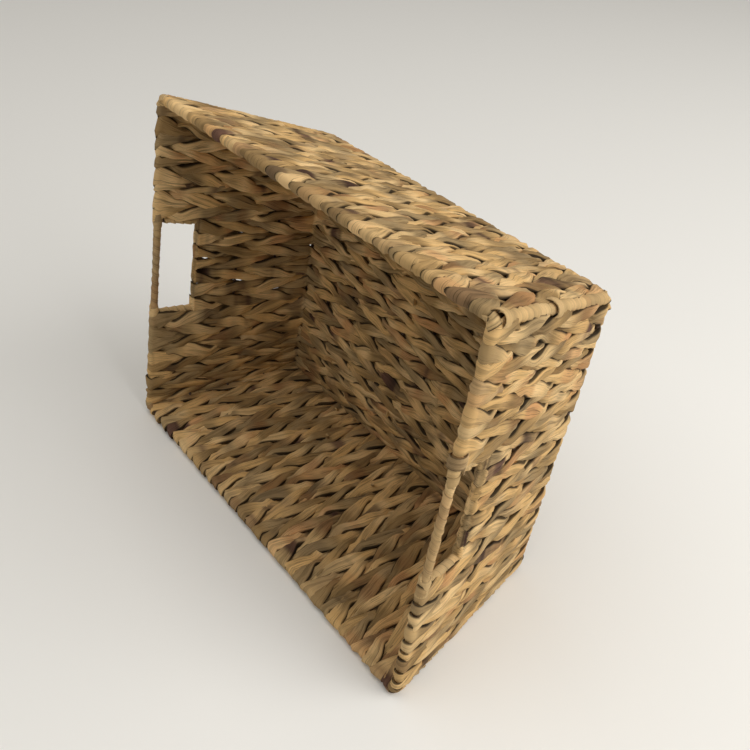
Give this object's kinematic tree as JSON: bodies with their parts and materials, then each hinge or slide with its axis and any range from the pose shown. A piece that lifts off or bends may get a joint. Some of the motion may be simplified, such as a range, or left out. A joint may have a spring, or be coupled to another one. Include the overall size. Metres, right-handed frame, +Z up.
{
  "type": "rectangular woven storage basket",
  "caption": "Tapered rectangular storage basket of twined flat plant strands on a hidden wire frame, with a wrapped rim and a hand hole in each end wall.",
  "frame": {"origin": "middle of the underside, on the surface that the basket stands on", "axes": "+X along the long walls towards one hand hole, +Y towards the other long wall, +Z up out of the mouth"},
  "size_m": [0.41, 0.32, 0.1625],
  "materials": {
    "woven_strand": "matte dried plant strand, straw to tan with brown and greenish strands",
    "wound_strip": "matte thin plant strip, paler than the weave",
    "frame_wire": "dark painted steel wire, hidden in the weave"
  },
  "bodies": {
    "root": {"base_corner_wrap_left_back": "woven_strand", "base_corner_wrap_left_front": "woven_strand", "base_corner_wrap_right_back": "woven_strand", "base_corner_wrap_right_front": "woven_strand", "base_ring": "frame_wire", "base_stake_01": "frame_wire", "base_stake_02": "frame_wire", "base_stake_03": "frame_wire", "base_stake_04": "frame_wire", "base_stake_05": "frame_wire", "base_stake_06": "frame_wire", "base_stake_07": "frame_wire", "base_stake_08": "frame_wire", "corner_binding_left_back": "wound_strip", "corner_binding_left_front": "wound_strip", "corner_binding_right_back": "wound_strip", "corner_binding_right_front": "wound_strip", "corner_post_left_back": "frame_wire", "corner_post_left_front": "frame_wire", "corner_post_right_back": "frame_wire", "corner_post_right_front": "frame_wire", "grip_lashing_left_back": "woven_strand", "grip_lashing_left_front": "woven_strand", "grip_lashing_right_back": "woven_strand", "grip_lashing_right_front": "woven_strand", "handle_grip_left": "wound_strip", "handle_grip_right": "wound_strip", "handle_leg_left_back": "frame_wire", "handle_leg_left_front": "frame_wire", "handle_leg_right_back": "frame_wire", "handle_leg_right_front": "frame_wire", "leg_wrap_left_back": "wound_strip", "leg_wrap_left_front": "wound_strip", "leg_wrap_right_back": "wound_strip", "leg_wrap_right_front": "wound_strip", "rim_corner_wrap_left_back": "woven_strand", "rim_corner_wrap_left_front": "woven_strand", "rim_corner_wrap_right_back": "woven_strand", "rim_corner_wrap_right_front": "woven_strand", "rim_ring": "frame_wire", "wall_hoop_1": "frame_wire", "wall_hoop_2": "frame_wire", "wall_hoop_3": "frame_wire", "weave_back": "woven_strand", "weave_base": "woven_strand", "weave_front": "woven_strand", "weave_left_back": "woven_strand", "weave_left_front": "woven_strand", "weave_left_under_hole": "woven_strand", "weave_right_back": "woven_strand", "weave_right_front": "woven_strand", "weave_right_under_hole": "woven_strand"}
  },
  "joints": []
}
